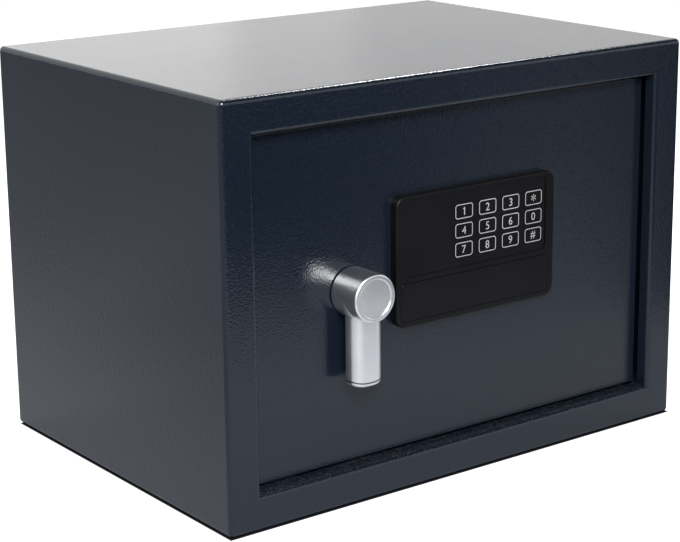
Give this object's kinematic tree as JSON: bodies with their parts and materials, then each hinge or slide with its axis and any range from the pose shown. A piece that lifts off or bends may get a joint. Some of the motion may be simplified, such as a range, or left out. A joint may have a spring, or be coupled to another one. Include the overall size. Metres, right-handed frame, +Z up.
{
  "type": "electronic safe",
  "caption": "Steel box safe with a recessed hinged door, keypad, turning knob with lever, sliding locking bolts and an emergency lock behind a strip.",
  "frame": {"origin": "centre of the cabinet's underside, where the safe stands", "axes": "+X to the right as seen from the front, +Y to the back, +Z up"},
  "size_m": [0.35, 0.2633, 0.25],
  "materials": {
    "cabinet_paint": "fine textured powder coat, anthracite",
    "bare_steel": "zinc-plated steel",
    "polished_bar": "polished plated bar",
    "satin_silver": "satin silver plating",
    "black_plastic": "satin black moulded plastic",
    "key_plastic": "satin black with a printed white outline and sign",
    "white_plastic": "plain white moulded plastic",
    "red_plastic": "red moulded plastic",
    "soft_rubber": "black rubber",
    "lining": "needled felt",
    "lock_metal": "plated zinc",
    "yellow_metal": "turned brass",
    "board_green": "glass-fibre board with solder mask",
    "cell_wrap": "plain wrapped cell",
    "coil_tape": "yellow tape over copper",
    "lead_cover": "insulated lead"
  },
  "bodies": {
    "cabinet": {"cabinet_shell": "cabinet_paint", "back_plate": "cabinet_paint", "hinge_plates": "cabinet_paint", "hinge_washer": "black_plastic", "door_stops": "cabinet_paint", "floor_mat": "lining"},
    "door": {"door_panel": "cabinet_paint", "hinge_blocks": "cabinet_paint", "hinge_pins": "bare_steel", "knob_washer": "black_plastic", "shaft_bush": "yellow_metal", "bolt_guide": "cabinet_paint", "guide_studs": "bare_steel", "solenoid_frame": "bare_steel", "solenoid_coil": "coil_tape", "plunger_spring": "bare_steel", "keypad_housing": "black_plastic", "key_mat": "soft_rubber", "keypad_board": "board_green", "lock_barrel": "lock_metal", "lock_nut": "bare_steel", "inner_cover": "cabinet_paint", "cover_screws": "bare_steel", "battery_tray": "black_plastic", "batteries": "cell_wrap", "battery_contacts": "bare_steel", "board_standoffs": "white_plastic", "control_board": "board_green", "board_parts": "white_plastic", "small_screws": "bare_steel", "cable_grommet": "soft_rubber", "wiring": "lead_cover"},
    "knob": {"knob_handle": "satin_silver", "knob_disc": "satin_silver", "knob_screw": "bare_steel", "knob_shaft": "bare_steel", "drive_cam": "bare_steel", "crank_pin": "bare_steel", "cam_nut": "bare_steel"},
    "bolt_work": {"locking_bolts": "polished_bar", "bolt_screws": "bare_steel", "bolt_carrier": "bare_steel"},
    "plunger": {"solenoid_plunger": "bare_steel"},
    "lock_core": {"lock_plug": "yellow_metal", "override_cam": "bare_steel"},
    "lock_strip": {"lock_cover": "black_plastic"},
    "reset_button": {"reset_button": "red_plastic"},
    "battery_lid": {"battery_lid": "black_plastic"},
    "key_1": {"key_1": "key_plastic"},
    "key_2": {"key_2": "key_plastic"},
    "key_3": {"key_3": "key_plastic"},
    "key_star": {"key_star": "key_plastic"},
    "key_4": {"key_4": "key_plastic"},
    "key_5": {"key_5": "key_plastic"},
    "key_6": {"key_6": "key_plastic"},
    "key_0": {"key_0": "key_plastic"},
    "key_7": {"key_7": "key_plastic"},
    "key_8": {"key_8": "key_plastic"},
    "key_9": {"key_9": "key_plastic"},
    "key_hash": {"key_hash": "key_plastic"}
  },
  "joints": [
    {"name": "door_hinge", "type": "hinge", "parent": "cabinet", "child": "door", "pos_m": [0.1435, -0.1065, 0.125], "axis": [0, 0, 1], "range_deg": [0, 95]},
    {"name": "knob_turn", "type": "hinge", "parent": "door", "child": "knob", "pos_m": [-0.0815, -0.1145, 0.1272], "axis": [0, 1, 0], "range_deg": [0, 90]},
    {"name": "bolt_slide", "type": "slide", "parent": "door", "child": "bolt_work", "axis": [-1, 0, 0], "range_m": [0, 0.01414]},
    {"name": "plunger_lift", "type": "slide", "parent": "door", "child": "plunger", "axis": [0, 0, 1], "range_m": [0, 0.004], "stiffness_N_per_m": 250, "deforming": ["plunger_spring"]},
    {"name": "lock_core_turn", "type": "hinge", "parent": "door", "child": "lock_core", "pos_m": [-0.03, -0.117, 0.1142], "axis": [0, 1, 0], "range_deg": [0, 90]},
    {"name": "lock_strip_pull", "type": "slide", "parent": "door", "child": "lock_strip", "axis": [0, -1, 0], "range_m": [0, 0.012]},
    {"name": "reset_press", "type": "slide", "parent": "door", "child": "reset_button", "axis": [0, -1, 0], "range_m": [0, 0.001], "stiffness_N_per_m": 1000},
    {"name": "battery_lid_pull", "type": "slide", "parent": "door", "child": "battery_lid", "axis": [0, 1, 0], "range_m": [0, 0.01]},
    {"name": "key_1_press", "type": "slide", "parent": "door", "child": "key_1", "axis": [0, 1, 0], "range_m": [0, 0.0006], "stiffness_N_per_m": 1500},
    {"name": "key_2_press", "type": "slide", "parent": "door", "child": "key_2", "axis": [0, 1, 0], "range_m": [0, 0.0006], "stiffness_N_per_m": 1500},
    {"name": "key_3_press", "type": "slide", "parent": "door", "child": "key_3", "axis": [0, 1, 0], "range_m": [0, 0.0006], "stiffness_N_per_m": 1500},
    {"name": "key_star_press", "type": "slide", "parent": "door", "child": "key_star", "axis": [0, 1, 0], "range_m": [0, 0.0006], "stiffness_N_per_m": 1500},
    {"name": "key_4_press", "type": "slide", "parent": "door", "child": "key_4", "axis": [0, 1, 0], "range_m": [0, 0.0006], "stiffness_N_per_m": 1500},
    {"name": "key_5_press", "type": "slide", "parent": "door", "child": "key_5", "axis": [0, 1, 0], "range_m": [0, 0.0006], "stiffness_N_per_m": 1500},
    {"name": "key_6_press", "type": "slide", "parent": "door", "child": "key_6", "axis": [0, 1, 0], "range_m": [0, 0.0006], "stiffness_N_per_m": 1500},
    {"name": "key_0_press", "type": "slide", "parent": "door", "child": "key_0", "axis": [0, 1, 0], "range_m": [0, 0.0006], "stiffness_N_per_m": 1500},
    {"name": "key_7_press", "type": "slide", "parent": "door", "child": "key_7", "axis": [0, 1, 0], "range_m": [0, 0.0006], "stiffness_N_per_m": 1500},
    {"name": "key_8_press", "type": "slide", "parent": "door", "child": "key_8", "axis": [0, 1, 0], "range_m": [0, 0.0006], "stiffness_N_per_m": 1500},
    {"name": "key_9_press", "type": "slide", "parent": "door", "child": "key_9", "axis": [0, 1, 0], "range_m": [0, 0.0006], "stiffness_N_per_m": 1500},
    {"name": "key_hash_press", "type": "slide", "parent": "door", "child": "key_hash", "axis": [0, 1, 0], "range_m": [0, 0.0006], "stiffness_N_per_m": 1500}
  ],
  "couplings": [
    {"joint": "bolt_slide", "follows": "knob_turn", "m_per_rad": 0.0090032}
  ]
}
